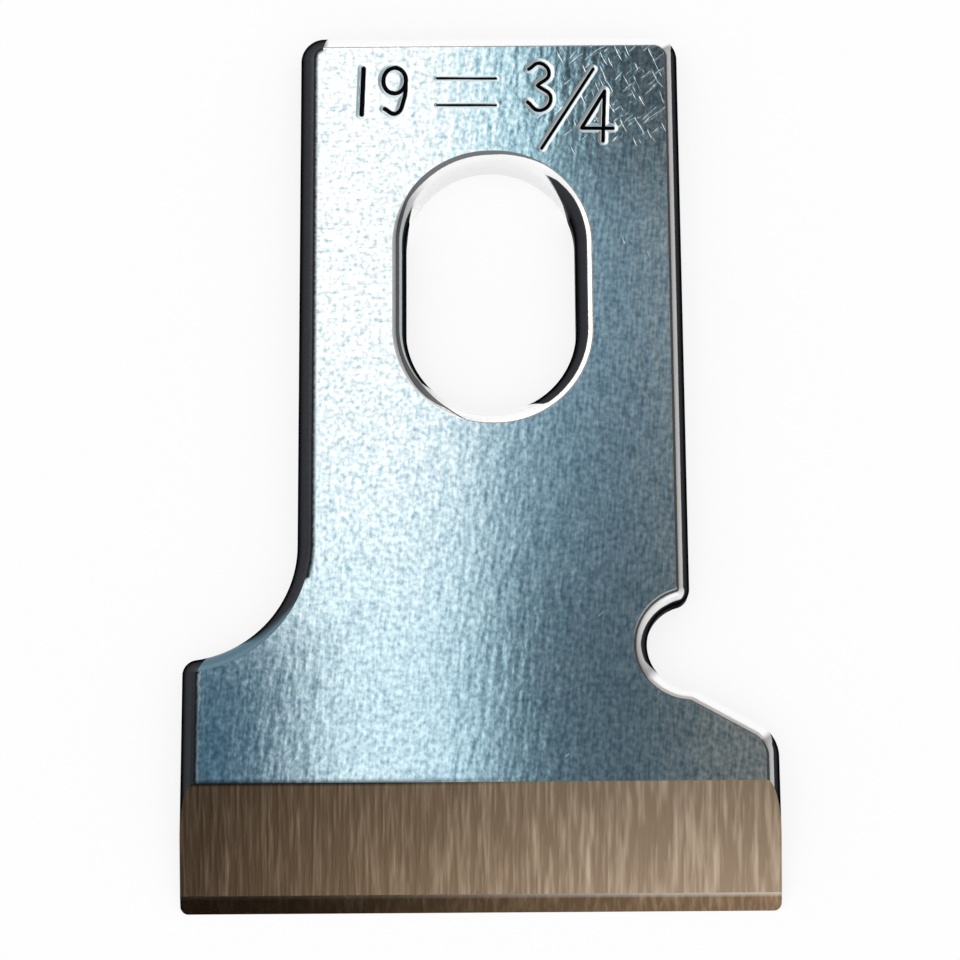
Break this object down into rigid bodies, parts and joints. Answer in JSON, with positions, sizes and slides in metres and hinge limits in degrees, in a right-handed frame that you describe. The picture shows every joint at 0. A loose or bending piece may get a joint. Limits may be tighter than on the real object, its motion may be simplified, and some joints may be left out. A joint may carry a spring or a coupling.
{
  "type": "buttonhole machine knife",
  "caption": "Flat steel knife plate: a slotted shank widens into a foot with a straight cutting edge, bevelled on one face.",
  "frame": {"origin": "under the middle of the plate's bounding box, on the back face", "axes": "+X along the cutting edge with the notched side at +X, +Y from the cutting edge towards the shank's top, +Z out of the bevelled face"},
  "size_m": [0.019, 0.0292, 0.0012],
  "materials": {
    "tool_steel": "satin-ground face, dark tumbled edges, ground bevel"
  },
  "bodies": {
    "root": {"buttonhole_knife": "tool_steel"}
  },
  "joints": []
}
